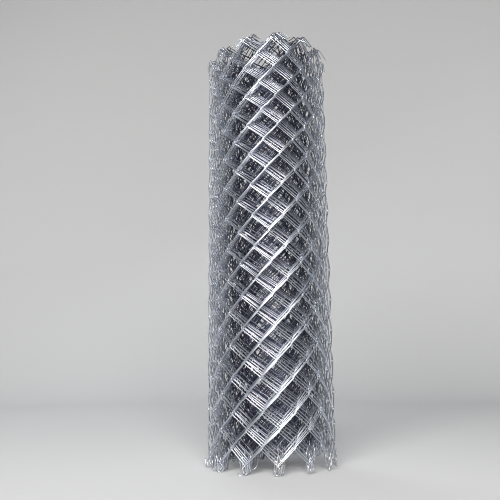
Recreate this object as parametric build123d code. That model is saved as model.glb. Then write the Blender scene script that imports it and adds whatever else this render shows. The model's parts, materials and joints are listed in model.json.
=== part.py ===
from build123d import *
import os
from math import pi, sqrt

# Roll of woven diamond-mesh wire fence, standing on its end.
# The frame has its origin on the floor at the roll's axis, with +Z up along the bore.
# All sizes are in millimetres.

# Driving sizes of the fabric
fence_height = 1500.0  # across the fabric, from the tips of one row of knuckles to the other
fabric_length = 15000.0  # wound into the roll
wire_diameter = 3.25
hook_clearance = 0.225  # between two spirals where they hook through each other

# Driving sizes of the roll
bore_radius = 60.0
turn_slack = 2.9  # mean radial gap between one turn and the next
knuckle_depth = 38.0  # how far the hooked wire ends stand free past the last crossing
slipped_turns = 5  # outer turns that have slid down over the turns inside them
turn_slip = 8.5  # how far each of those has slid down past its neighbour

# The fabric is two wires thick where its spirals hook together.
# Its length, wound at that thickness and slack, gives the roll's outside.
fabric_thickness = 2 * (wire_diameter + hook_clearance)
outer_radius = sqrt(bore_radius**2 + fabric_length * (fabric_thickness + turn_slack) / pi)

# Whole turns share the wall evenly, from the bore to the outside.
wall = outer_radius - bore_radius
turn_count = round((wall + turn_slack) / (fabric_thickness + turn_slack))
turn_spacing = (wall - fabric_thickness) / (turn_count - 1)


def turn_inside(turn):
    """Inner radius of a turn, counted from the outermost, which is turn 0."""
    return outer_radius - turn * turn_spacing - fabric_thickness


def turn_foot(turn):
    """Height of a turn's lower edge. Only the outermost turn has slid all the way to the floor."""
    return turn_slip * min(turn, slipped_turns)


def ring_section(inside, outside, bottom, top):
    """Half of a ring's cross-section, with its radii across and its height up."""
    middle = Pos((inside + outside) / 2, (bottom + top) / 2)
    return middle * Rectangle(outside - inside, top - bottom)


def turn_section(turn):
    """One turn of the fabric at its full height."""
    inside = turn_inside(turn)
    foot = turn_foot(turn)
    return ring_section(inside, inside + fabric_thickness, foot, foot + fence_height)


def gap_section(turn):
    """What joins a turn to the next one inside it, short of the open gap between their knuckles."""
    outside = turn_inside(turn)
    inside = turn_inside(turn + 1) + fabric_thickness
    bottom = turn_foot(turn + 1) + knuckle_depth
    top = turn_foot(turn) + fence_height - knuckle_depth
    return ring_section(inside, outside, bottom, top)


def fence_roll():
    """One turned solid with its bore, whose turns show as rings on both ends."""
    sections = [turn_section(turn) for turn in range(turn_count)]
    sections += [gap_section(turn) for turn in range(turn_count - 1)]
    profile = Sketch() + sections
    return revolve(Plane.XZ * profile, Axis.Z)


os.makedirs("parts", exist_ok=True)
export_step(fence_roll(), "parts/fence_roll.step")
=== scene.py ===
import json
from math import cos, pi, radians, sin, tan

import bpy
import numpy as np
from mathutils import Matrix, Vector


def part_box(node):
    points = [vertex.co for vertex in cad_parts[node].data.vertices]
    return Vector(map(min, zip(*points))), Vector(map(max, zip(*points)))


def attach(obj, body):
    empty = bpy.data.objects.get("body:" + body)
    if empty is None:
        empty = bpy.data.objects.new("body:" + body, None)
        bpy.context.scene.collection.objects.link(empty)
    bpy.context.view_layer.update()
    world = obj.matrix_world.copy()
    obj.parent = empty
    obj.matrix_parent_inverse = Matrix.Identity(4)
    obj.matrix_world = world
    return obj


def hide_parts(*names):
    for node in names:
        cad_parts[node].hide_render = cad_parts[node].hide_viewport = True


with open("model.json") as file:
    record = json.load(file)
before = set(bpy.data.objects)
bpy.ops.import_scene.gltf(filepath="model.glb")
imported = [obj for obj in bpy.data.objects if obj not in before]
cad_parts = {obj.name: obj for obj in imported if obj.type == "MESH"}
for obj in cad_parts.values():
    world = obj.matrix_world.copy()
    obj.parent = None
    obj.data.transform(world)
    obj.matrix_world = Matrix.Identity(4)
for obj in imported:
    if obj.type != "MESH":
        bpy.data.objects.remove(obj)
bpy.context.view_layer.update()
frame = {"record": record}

# The winding of the roll
# One length of woven wire fabric, 1.5 m high, wound from a small open bore out to the free end at
# the back. The outer turns have each slid down a little over the turn inside them, to the floor.
solid_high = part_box("fence_roll")[1]
mounts = {mount["name"]: mount for mount in frame["record"]["mounts"]}
outer_radius = solid_high.x
bore_radius = mounts["core_bore"]["dims"]["r_mm"] / 1000
wire_diameter = 0.00325
hook_radius = 0.00185  # of the bend where a spiral turns from the fabric's face to its back
fabric_thickness = 2 * hook_radius + wire_diameter
fence_height = 1.5
turns_in_roll = 16.75
free_end_angle = radians(-168)  # round from the front, past the left side to the back
outer_middle = outer_radius - fabric_thickness / 2
inner_middle = bore_radius + fabric_thickness / 2
turn_spacing = (outer_middle - inner_middle) / turns_in_roll

rng = np.random.default_rng(11)
slipped_turns = 3  # outer turns that have slid down past one another
slip_at_front = 0.48  # what they have slid at the front, as a share of the solid's own slide
slip_lean = 0.85  # how much more than that on the roll's right, and less on its left
turn_slips = rng.uniform(0.8, 1.2, slipped_turns)
turn_slips *= slip_at_front * (solid_high.z - fence_height) / turn_slips.sum()
turn_stretch = 0.0008  # of its height, by which each of those is taller than the turn outside it
inner_slip = 0.020  # how much higher still the turns inside those stand
inner_slip_turns = 3  # turns over which they come up to that

locked_turns = 5  # outer turns whose diamonds have settled in line with each other at the front
front_step = 0.0068  # that the diamonds of each stand further right than those of the turn outside
front_steps = front_step * rng.uniform(0.75, 1.25, locked_turns)
front_column_angle = radians(-1.9)
column_width = 0.0524  # from one column of hooks to the next
torsion = radians(17.8)  # the columns of hooks lean, so the top of the roll is turned to the left
turn_torsions = torsion + rng.normal(0, radians(0.35), locked_turns + 1)
foot_turn = radians(4.5)  # how far the foot of every turn is turned back to the left
foot_reach = 0.16  # how high above the foot that is still felt
radius_wander, column_wander, row_wander = 0.0012, 0.0020, 0.0018  # of the fabric off its place
level_height = 0.3  # below this the rows of hooks settle level with the floor


def turns_from_front(angle):
    """Whole and part turns wound inward since the outermost turn passed the front."""
    return angle / (2 * pi)


def winding_radius(angle):
    """Radius of the fabric's middle, at an angle that keeps growing as it winds inward."""
    return outer_middle - turn_spacing * (angle - free_end_angle) / (2 * pi)


def slip_at(angle):
    """How far the turn at this angle stands above the outermost one."""
    heights = np.cumsum([0, *turn_slips])
    return np.interp(turns_from_front(angle), range(slipped_turns + 1), heights)


def inner_slip_at(angle):
    """How much higher still the turns stand that lie inside the slipped ones."""
    return inner_slip * np.clip((turns_from_front(angle) - slipped_turns) / inner_slip_turns, 0, 1)


def stretch_at(angle):
    """How much taller the turn at this angle stands than the outermost one."""
    return turn_stretch * np.clip(turns_from_front(angle), 0, slipped_turns)


def torsion_at(angle):
    """How far round a column's top stands from its foot."""
    return np.interp(turns_from_front(angle), range(locked_turns + 1), turn_torsions)


def wander(angle, level, phase):
    """A slow wave over the fabric, between -1 and 1, that comes out different in every turn."""
    long_wave = np.sin(1.37 * angle + 5.2 * level + phase)
    short_wave = np.sin(2.63 * angle - 8.3 * level + 2 * phase)
    return (long_wave + short_wave) / 2


def slack_at_back(turn):
    """Extra width of a diamond at the back of a turn, which lines up its next pass of the front."""
    if not 0 <= turn < locked_turns:
        return 0
    middle = winding_radius((turn + 0.5) * 2 * pi)
    columns = 2 * pi * middle / column_width
    wanted = 2 * round(columns / 2) - front_steps[turn] / column_width
    return 2 * (columns / wanted - 1)


def next_column(angle, way):
    """Angle of the next column of hooks, inward or outward along the fabric."""
    turn = int(np.floor(turns_from_front(angle)))
    width = column_width * (1 + slack_at_back(turn) * (1 - cos(angle)) / 2)
    return angle + way * width / winding_radius(angle)


def column_angles():
    """Angle of every column of hooks, from the free end to the bore, and which one is in front."""
    outward = [front_column_angle]
    while outward[-1] > free_end_angle:
        outward.append(next_column(outward[-1], -1))
    inward = [front_column_angle]
    while winding_radius(inward[-1]) > inner_middle:
        inward.append(next_column(inward[-1], 1))
    return np.array(outward[:0:-1] + inward), len(outward) - 1


angles, front_column = column_angles()
radii = winding_radius(angles)
slips = slip_at(angles)
inner_slips = inner_slip_at(angles)
stretches = stretch_at(angles)
torsions = torsion_at(angles)
spiral_count = len(angles) - 1


def column_line(column, up):
    """Where a column of hooks stands, at each distance up the fabric from its foot."""
    angle, level = angles[column], up / fence_height - 0.5
    radius = radii[column] + radius_wander * wander(angle, level, 0)
    turned = angle - torsions[column] * level - foot_turn * np.clip(1 - up / foot_reach, 0, 1)
    turned += column_wander * wander(angle, level, 1) / radius
    height = slips[column] * (1 + slip_lean * sin(angle)) + inner_slips[column]
    height = height + (1 + stretches[column]) * up
    height += row_wander * wander(angle, level, 2) * np.clip(up / level_height, 0, 1)
    return np.stack([radius * np.sin(turned), -radius * np.cos(turned), height], 1)


# The spirals
# Each is one galvanised steel wire, bent flat into a zigzag as high as the fence. It turns round
# the next spiral at every corner, runs up to the right on the face and to the left on the back.
half_diamond = 0.0533  # from one row of hooks to the next, as the fabric is pulled a little tall
rows = 27  # half diamonds from the bottom knuckles to the top ones
bottom_knuckle = 0.0305  # height of the last crossing above the foot
hook_overlap = 0.0092  # how far the corners of two neighbours reach past each other
hook_drop = 0.0033  # how much lower a left corner sits than the right corner it hooks into
bend_steps = 4


def spiral_corner(spiral, row):
    """Points round one corner as distance along the fabric, height and distance off its middle."""
    right = (row + spiral - front_column) % 2 == 1
    side = 1 if right else -1
    bend_rise = pi * hook_radius * half_diamond / (half_diamond + hook_overlap)
    across = hook_overlap / 2 - pi * hook_radius / 2
    middle = (half_diamond if right else 0) + side * across
    height = bottom_knuckle + row * half_diamond + side * hook_drop / 2
    turned = np.linspace(0, pi, bend_steps + 1)
    along = middle + side * hook_radius * np.sin(turned)
    up = height + bend_rise * (turned / pi - 0.5)
    off = side * hook_radius * np.cos(turned)
    return np.stack([along, up, off], 1)


def with_middles(corners):
    """The corners joined by runs, each run with one point at its middle."""
    points = [corners[0]]
    for before, after in zip(corners, corners[1:]):
        points.append((before[-1:] + after[:1]) / 2)
        points.append(after)
    return np.concatenate(points)


def spiral_body(spiral):
    """The zigzag between the two knuckles, one corner for each row of hooks between them."""
    return with_middles([spiral_corner(spiral, row) for row in range(1, rows)])


wire_shift = rng.normal(0, 0.0008, spiral_count)  # up or down, of each wire off its neighbours
wire_shift_height = 0.2  # that a wire needs above the floor to be off by all of it

# The knuckles
# Both ends of every wire are bent back over the neighbour's by machine, in pairs, which closes the
# fabric's edges. Below they hang as open hooks that the roll stands on, above they fold over.
def smooth_line(points, steps):
    """A smooth line through the points."""
    points = np.array(points, float)
    before, after = 2 * points[:1] - points[1:2], 2 * points[-1:] - points[-2:-1]
    padded = np.concatenate([before, points, after])
    line = []
    for a, b, c, d in zip(padded, padded[1:], padded[2:], padded[3:]):
        for t in np.arange(steps) / steps:
            near, far = (c - a) / 2, (d - b) / 2
            line.append(b + near * t + (3 * (c - b) - 2 * near - far) * t**2
                        + (2 * (b - c) + near + far) * t**3)
    line.append(points[-1])
    return np.array(line)


hook_steps = 3


def bottom_hook(depth, reach, arm, rise, way):
    """From the last crossing on along the run, down, round and up again, as across and height."""
    return smooth_line([
        (0, 0),
        (-0.55 * reach, -0.55 * reach),
        (-reach, -reach - 0.3 * arm),
        (-reach - 0.1 * way * arm, -depth + 1.1 * arm),
        (-reach + 0.3 * way * arm, -depth + 0.25 * arm),
        (-reach + way * arm, -depth),
        (-reach + 1.7 * way * arm, -depth + 0.25 * arm),
        (-reach + 2 * way * arm, -depth + 1.1 * arm),
        (-reach + 2.1 * way * arm, -depth + rise),
    ], hook_steps)


def top_hook(height, back, lift):
    """From the last crossing up, over the neighbour and down by its run, as across and height."""
    return smooth_line([
        (0, 0),
        (0.55 * height, 0.6 * height),
        (1.05 * height, height),
        (1.6 * height, 0.95 * height),
        (2 * height, 0.5 * height),
        (2 * height + 0.3 * back, 0.5 * height - 0.3 * back),
        (2 * height + 0.7 * back, 0.5 * height - 0.65 * back + 0.4 * lift),
        (2 * height + back, 0.5 * height - 0.9 * back + lift),
    ], hook_steps)


def hung_in_fabric(hook, side, swing, twist):
    """The hook swung in the fabric's face and twisted out of it, with its distance off it."""
    across = hook[:, 0] + tan(swing) * hook[:, 1] ** 2 / bottom_knuckle
    off = side * hook_radius * np.linspace(1, 1.6, len(hook)) + sin(twist) * across
    return np.stack([across * cos(twist), hook[:, 1], off], 1)


def spiral_ends(spiral):
    """The knuckle ends of one wire, ready to join to the two ends of its body."""
    starts_right = (spiral - front_column) % 2 == 1
    ends_right = (rows + spiral - front_column) % 2 == 1

    low_side = 1 if starts_right else -1
    depth = bottom_knuckle - wire_diameter / 2 - abs(rng.normal(0, 0.003))
    reach = depth * rng.uniform(0.05, 0.4)
    arm = depth * rng.uniform(0.2, 0.38)
    rise = depth * rng.uniform(0.8, 2.0)
    way = rng.choice((1, 1, -1))
    swing = radians(rng.normal(0, 14))
    twist = radians(rng.normal(0, 30))
    low = hung_in_fabric(bottom_hook(depth, reach, arm, rise, way), -low_side, swing, twist)
    low[:, 0] *= -low_side
    low += (half_diamond if starts_right else 0, bottom_knuckle, 0)

    high_side = 1 if ends_right else -1
    height = rng.uniform(0.001, 0.007)
    back = rng.uniform(0.010, 0.030)
    lift = rng.normal(0, 0.005)
    twist = radians(rng.normal(0, 22))
    high = hung_in_fabric(top_hook(height, back, lift), high_side, 0, twist)
    high[:, 0] *= high_side
    high += (half_diamond if ends_right else 0, bottom_knuckle + rows * half_diamond, 0)
    return low[::-1], high


# The wires
# A whole wire is a knuckle, a zigzag and a knuckle, laid between its two columns of hooks. It is
# round drawn steel, 3.25 mm thick, and cropped square at both ends.
chord_sag = 0.0019  # how far a run may stand inside the round of its turn


def wire_line(spiral):
    """One whole wire, as distance along the fabric from its left column, height and offset."""
    low, high = spiral_ends(spiral)
    body = spiral_body(spiral)
    first = (low[-1:] + body[:1]) / 2
    last = (body[-1:] + high[:1]) / 2
    return np.concatenate([low, first, body, last, high])


def placed_in_roll(line, spiral):
    """A wire's points in the roll. A run is straight, and bows out only where its turn is tight."""
    along, up, off = line.T
    left, right = column_line(spiral, up), column_line(spiral + 1, up)
    chord = right - left
    width = np.hypot(chord[:, 0], chord[:, 1])
    outward = np.stack([chord[:, 1], -chord[:, 0], 0 * width], 1) / width[:, None]
    share = along / half_diamond
    radius = (radii[spiral] + radii[spiral + 1]) / 2
    arch = radius - np.sqrt(radius**2 - width**2 / 4)
    bow = 4 * np.maximum(arch - chord_sag, 0) * share * (1 - share)
    placed = left + share[:, None] * chord + (off + bow)[:, None] * outward
    placed[:, 2] += wire_shift[spiral] * np.clip(up / wire_shift_height, 0, 1)
    return placed


def unit(vectors):
    """The same directions with a length of one."""
    return vectors / np.linalg.norm(vectors, axis=-1, keepdims=True)


def wire_surface(lines, sides):
    """Points round the wires, as one ring for each point of each line."""
    steps = np.diff(lines, axis=1)
    bends = unit(steps[:, 1:]) + unit(steps[:, :-1])
    ways = unit(np.concatenate([steps[:, :1], bends, steps[:, -1:]], 1))
    across = np.zeros_like(lines)
    never_along = (0.3, 0.2, 1)  # no wire starts in this direction
    across[:, 0] = unit(np.cross(ways[:, 0], never_along))
    for i in range(1, lines.shape[1]):
        carried = across[:, i - 1]
        along = (carried * ways[:, i]).sum(1, keepdims=True)
        across[:, i] = unit(carried - along * ways[:, i])
    beside = np.cross(ways, across)
    around = np.arange(sides) * 2 * pi / sides
    rings = np.cos(around)[:, None] * across[:, :, None]
    rings = rings + np.sin(around)[:, None] * beside[:, :, None]
    return lines[:, :, None] + rings * wire_diameter / 2


def wire_mesh(name, lines, sides):
    """One mesh of round wires, each swept along its line, and which of its faces are cut ends."""
    lines = np.array(lines)
    wires, points, _ = lines.shape
    verts = wire_surface(lines, sides)
    ring = np.arange(wires * points * sides).reshape(wires, points, sides)
    turned = np.roll(ring, -1, 2)
    quads = np.stack([ring[:, :-1], turned[:, :-1], turned[:, 1:], ring[:, 1:]], -1).reshape(-1)
    caps = np.concatenate([ring[:, 0, ::-1], ring[:, -1]]).reshape(-1)
    corners = np.concatenate([quads, caps])
    quad_count, cap_count = len(quads) // 4, 2 * wires
    cap_starts = len(quads) + np.arange(cap_count) * sides
    starts = np.concatenate([np.arange(quad_count) * 4, cap_starts])
    is_cap = np.arange(len(starts)) >= quad_count
    mesh = bpy.data.meshes.new(name)
    mesh.vertices.add(ring.size)
    mesh.vertices.foreach_set("co", verts.reshape(-1).astype(np.float32))
    mesh.loops.add(len(corners))
    mesh.loops.foreach_set("vertex_index", corners.astype(np.int32))
    mesh.polygons.add(len(starts))
    mesh.polygons.foreach_set("loop_start", starts.astype(np.int32))
    mesh.polygons.foreach_set("use_smooth", ~is_cap)
    mesh.update(calc_edges=True)
    mesh.validate()
    piece = bpy.data.objects.new(name, mesh)
    bpy.context.scene.collection.objects.link(piece)
    return piece, is_cap


# The zinc coat
# The wire is dipped in molten zinc before it is woven. The coat is a bright bluish silver with a
# fine spangle. It dulls in patches and is dusty near the floor. The deeper turns get painted shade,
# a dark bluish tint by radius that stands in for the shade inside the roll.
def add_node(tree, kind, inputs, **settings):
    """A new node with its settings, and with each input set to a value or joined to an output."""
    node = tree.nodes.new("ShaderNode" + kind)
    for name, value in settings.items():
        setattr(node, name, value)
    for socket, value in inputs.items():
        if isinstance(value, bpy.types.NodeSocket):
            tree.links.new(value, node.inputs[socket])
        else:
            node.inputs[socket].default_value = value
    return node


def mixed_colour(tree, share, first, second, blend="MIX"):
    inputs = {0: share, 6: first, 7: second}
    return add_node(tree, "Mix", inputs, data_type="RGBA", blend_type=blend).outputs[2]


def remapped(tree, value, low, high, to_low=0.0, to_high=1.0):
    inputs = {"Value": value, "From Min": low, "From Max": high,
              "To Min": to_low, "To Max": to_high}
    return add_node(tree, "MapRange", inputs).outputs["Result"]


def object_place(tree):
    """The point of the surface in the roll's own frame."""
    return add_node(tree, "TexCoord", {}).outputs["Object"]


def patchy_metal_group():
    """Metal that varies between two colours in soft patches, with a fine grain in each patch."""
    group = bpy.data.node_groups.new("patchy_metal", "ShaderNodeTree")
    taken = {"Bright": "Color", "Dull": "Color", "Patch Scale": "Float", "Grain Scale": "Float"}
    given_out = {"Color": "Color", "Patches": "Float", "Grain": "Float"}
    for way, sockets in (("INPUT", taken), ("OUTPUT", given_out)):
        for name, kind in sockets.items():
            group.interface.new_socket(name, in_out=way, socket_type="NodeSocket" + kind)
    given = group.nodes.new("NodeGroupInput").outputs
    place = object_place(group)
    cloud_inputs = {"Vector": place, "Scale": given["Patch Scale"], "Detail": 5.0}
    cloud = add_node(group, "TexNoise", cloud_inputs).outputs["Fac"]
    dull_below, bright_above, grain_share = 0.36, 0.64, 0.12
    patches = remapped(group, cloud, dull_below, bright_above)
    grain = add_node(group, "TexVoronoi", {"Vector": place, "Scale": given["Grain Scale"]})
    colour = mixed_colour(group, patches, given["Dull"], given["Bright"])
    colour = mixed_colour(group, grain_share, colour, grain.outputs["Color"], "SOFT_LIGHT")
    result = group.nodes.new("NodeGroupOutput").inputs
    group.links.new(colour, result["Color"])
    group.links.new(patches, result["Patches"])
    group.links.new(grain.outputs["Distance"], result["Grain"])
    return group


patchy_metal = patchy_metal_group()
bright_zinc, dull_zinc = (0.78, 0.815, 0.88, 1), (0.58, 0.615, 0.69, 1)
shade_free_radius = 0.206  # the painted shade of the deeper turns begins inside this radius
full_shade_radius, painted_shade_tint = 0.140, (0.11, 0.122, 0.18, 1)  # and this full dark bluish painted shade covers the coat inside this radius
dusty_height, most_dust, floor_dust = 0.09, 0.6, (0.36, 0.34, 0.31, 1)
dull_roughness, bright_roughness = 0.40, 0.27
dusty_metallic = 0.3


def galvanised_wire():
    material = bpy.data.materials.new("galvanised_wire")
    material.use_nodes = True
    tree = material.node_tree
    shader = tree.nodes["Principled BSDF"]
    coat = add_node(tree, "Group", {}, node_tree=patchy_metal)
    coat.inputs["Bright"].default_value = bright_zinc
    coat.inputs["Dull"].default_value = dull_zinc
    coat.inputs["Patch Scale"].default_value = 16.0
    coat.inputs["Grain Scale"].default_value = 420.0
    patches = coat.outputs["Patches"]
    place = add_node(tree, "SeparateXYZ", {"Vector": object_place(tree)}).outputs
    level = add_node(tree, "CombineXYZ", {"X": place["X"], "Y": place["Y"]}).outputs["Vector"]
    from_axis = add_node(tree, "VectorMath", {0: level}, operation="LENGTH").outputs["Value"]
    # Painted shade: the coat darkens towards the roll's axis, standing in for the shade of the
    # deeper turns
    depth = remapped(tree, from_axis, full_shade_radius, shade_free_radius, 1.0, 0.0)
    colour = mixed_colour(tree, depth, coat.outputs["Color"], painted_shade_tint)
    low = remapped(tree, place["Z"], 0.0, dusty_height, most_dust, 0.0)
    dust = add_node(tree, "Math", {0: low, 1: patches}, operation="MULTIPLY").outputs["Value"]
    colour = mixed_colour(tree, dust, colour, floor_dust)
    metallic = remapped(tree, dust, 0.0, 1.0, 1.0, dusty_metallic)
    roughness = remapped(tree, patches, 0.0, 1.0, dull_roughness, bright_roughness)
    spangle = {"Height": coat.outputs["Grain"], "Strength": 0.25, "Distance": 0.0004}
    bump = add_node(tree, "Bump", spangle)
    tree.links.new(colour, shader.inputs["Base Color"])
    tree.links.new(metallic, shader.inputs["Metallic"])
    tree.links.new(roughness, shader.inputs["Roughness"])
    tree.links.new(bump.outputs["Normal"], shader.inputs["Normal"])
    return material


# The cut ends
# Each wire is cropped after it is woven, so its two ends show bare steel, which isn't coated.
# The faces are grey where they are fresh, with a film of brown rust in patches.
fresh_steel, rust_film = (0.36, 0.34, 0.33, 1), (0.22, 0.13, 0.08, 1)


def cut_wire_end():
    material = bpy.data.materials.new("cut_wire_end")
    material.use_nodes = True
    tree = material.node_tree
    shader = tree.nodes["Principled BSDF"]
    shader.inputs["Metallic"].default_value = 0.7
    shader.inputs["Roughness"].default_value = 0.55
    face = add_node(tree, "Group", {}, node_tree=patchy_metal)
    face.inputs["Bright"].default_value = fresh_steel
    face.inputs["Dull"].default_value = rust_film
    face.inputs["Patch Scale"].default_value = 600.0
    face.inputs["Grain Scale"].default_value = 2500.0
    tree.links.new(face.outputs["Color"], shader.inputs["Base Color"])
    return material


# The turns
# The fabric is made in one piece. Its spirals are kept here by the turn they lie in, from the
# outside in, and the turns that show least are made of wires with fewer flats round them.
zinc, bare_steel = galvanised_wire(), cut_wire_end()
turn_groups = {  # first turn, first turn that is no longer in it, and flats round a wire
    "outer_turns": (0, 2, 8),
    "next_turns": (2, 4, 8),
    "middle_turns": (4, 7, 6),
    "inner_turns": (7, 11, 5),
    "core_turns": (11, np.inf, 5),
}
turn_of = (angles[:-1] - angles[0]) / (2 * pi)
for name, (first, past, sides) in turn_groups.items():
    members = np.flatnonzero((turn_of >= first) & (turn_of < past))
    wires = [placed_in_roll(wire_line(spiral), spiral) for spiral in members]
    piece, is_cap = wire_mesh(name, wires, sides)
    piece.data.materials.append(zinc)
    piece.data.materials.append(bare_steel)
    piece.data.polygons.foreach_set("material_index", is_cap.astype(np.int32))
    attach(piece, "root")
    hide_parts("fence_roll")


# Floor and backdrop
# A plain pale floor that curves up into a round wall, like the cove of a photo studio.
def studio_cove():
    reach, rise, bend, sides, bend_points = 8.2, 6.0, 1.6, 72, 13
    pale_grey = (0.75, 0.757, 0.765, 1)
    centre_y = -3
    turned = np.linspace(0, pi / 2, bend_points)
    profile = [(0.0, 0.0)]
    profile += [(reach - bend + bend * sin(a), bend - bend * cos(a)) for a in turned]
    profile += [(reach, rise)]
    around = np.arange(sides) * 2 * pi / sides
    verts = [(out * sin(a), out * cos(a), up) for out, up in profile for a in around]
    faces = []
    for low in range(0, (len(profile) - 1) * sides, sides):
        high = low + sides
        for j in range(sides):
            k = (j + 1) % sides
            faces.append((low + j, low + k, high + k, high + j))
    mesh = bpy.data.meshes.new("studio_cove")
    mesh.from_pydata(verts, [], faces)
    mesh.polygons.foreach_set("use_smooth", [True] * len(faces))
    sheet = bpy.data.objects.new("studio_cove", mesh)
    sheet.location.y = centre_y
    bpy.context.scene.collection.objects.link(sheet)
    paint = bpy.data.materials.new("cove_paint")
    paint.use_nodes = True
    shader = paint.node_tree.nodes["Principled BSDF"]
    shader.inputs["Base Color"].default_value = pale_grey
    shader.inputs["Roughness"].default_value = 0.9
    mesh.materials.append(paint)


studio_cove()


# Light
# Two large soft lamps side by side above and behind the camera, shaded from the floor under them,
# with a weaker one high behind the roll and a little blue daylight from all round.
def hung_lamp(name, kind, place, aim_height, power, colour):
    """A lamp hung in its place and turned to a height on the roll's axis."""
    lamp = bpy.data.lights.new(name, kind)
    lamp.energy = power
    lamp.color = colour
    holder = bpy.data.objects.new(name, lamp)
    holder.location = place
    aim = Vector((0, 0, aim_height)) - Vector(place)
    holder.rotation_euler = aim.to_track_quat("-Z", "Y").to_euler()
    bpy.context.scene.collection.objects.link(holder)
    return lamp


warm_white, cool_white = (1, 0.98, 0.955), (0.94, 0.97, 1)
for name, across in (("left_front_light", -2.2), ("right_front_light", 0.4)):
    front_light = hung_lamp(name, "SPOT", (across, -5.7, 3.1), 2.2, 1300, warm_white)
    front_light.shadow_soft_size = 1.5
    front_light.spot_size = radians(86)
    front_light.spot_blend = 0.7
back_light = hung_lamp("back_light", "AREA", (-1.5, 3.4, 3.6), fence_height / 2, 40, cool_white)
back_light.shape = "DISK"
back_light.size = 2.4

world = bpy.data.worlds.new("daylight")
bpy.context.scene.world = world
world.use_nodes = True
daylight = world.node_tree.nodes["Background"].inputs
daylight["Color"].default_value = (0.8, 0.88, 1, 1)
daylight["Strength"].default_value = 0.05

# Camera
# It stands low and near, and looks up at the roll, so the roll's top comes out narrower than its
# foot.
photo_width = 500
focal_pixels = 614
camera_place = (-0.070, -2.2, 0.336)
camera_pitch = radians(10.7)
camera_roll = radians(-0.5)

camera = bpy.data.cameras.new("camera")
camera.lens = focal_pixels * camera.sensor_width / photo_width
viewer = bpy.data.objects.new("camera", camera)
pitched = Matrix.Rotation(pi / 2 + camera_pitch, 4, "X")
rolled = Matrix.Rotation(camera_roll, 4, "Z")
viewer.matrix_world = Matrix.Translation(camera_place) @ pitched @ rolled
bpy.context.scene.collection.objects.link(viewer)
bpy.context.scene.camera = viewer
bpy.context.scene.view_settings.view_transform = "Standard"
bpy.context.scene.cycles.denoising_prefilter = "NONE"  # the fine wires keep their edges
bpy.context.scene.cycles.filter_width = 1.0
